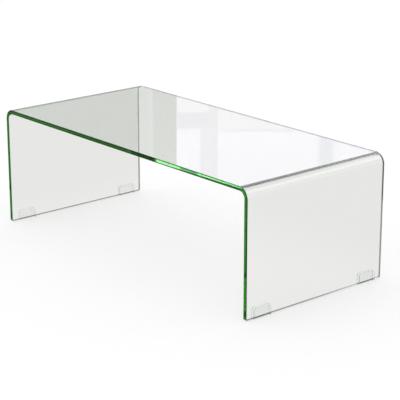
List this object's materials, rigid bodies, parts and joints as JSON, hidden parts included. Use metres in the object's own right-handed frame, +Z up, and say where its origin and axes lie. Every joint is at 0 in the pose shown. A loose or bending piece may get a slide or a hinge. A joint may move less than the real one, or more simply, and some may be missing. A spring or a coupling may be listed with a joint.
{
  "type": "waterfall coffee table",
  "caption": "Low coffee table of clear bent glass, its flat top curving down at each end into a full-width panel leg that stands on small clear plastic foot channels.",
  "frame": {"origin": "on the floor, under the middle of the table", "axes": "+X along the table, +Y across it from the front edge to the rear edge, +Z up"},
  "size_m": [1.0712, 0.492, 0.351],
  "materials": {
    "clear_glass": "polished clear float glass, deep green where it is seen through its cut edges",
    "clear_plastic": "clear, smooth and glossy"
  },
  "bodies": {
    "root": {"bent_glass": "clear_glass", "front_left_foot": "clear_plastic", "front_right_foot": "clear_plastic", "rear_left_foot": "clear_plastic", "rear_right_foot": "clear_plastic"}
  },
  "joints": []
}
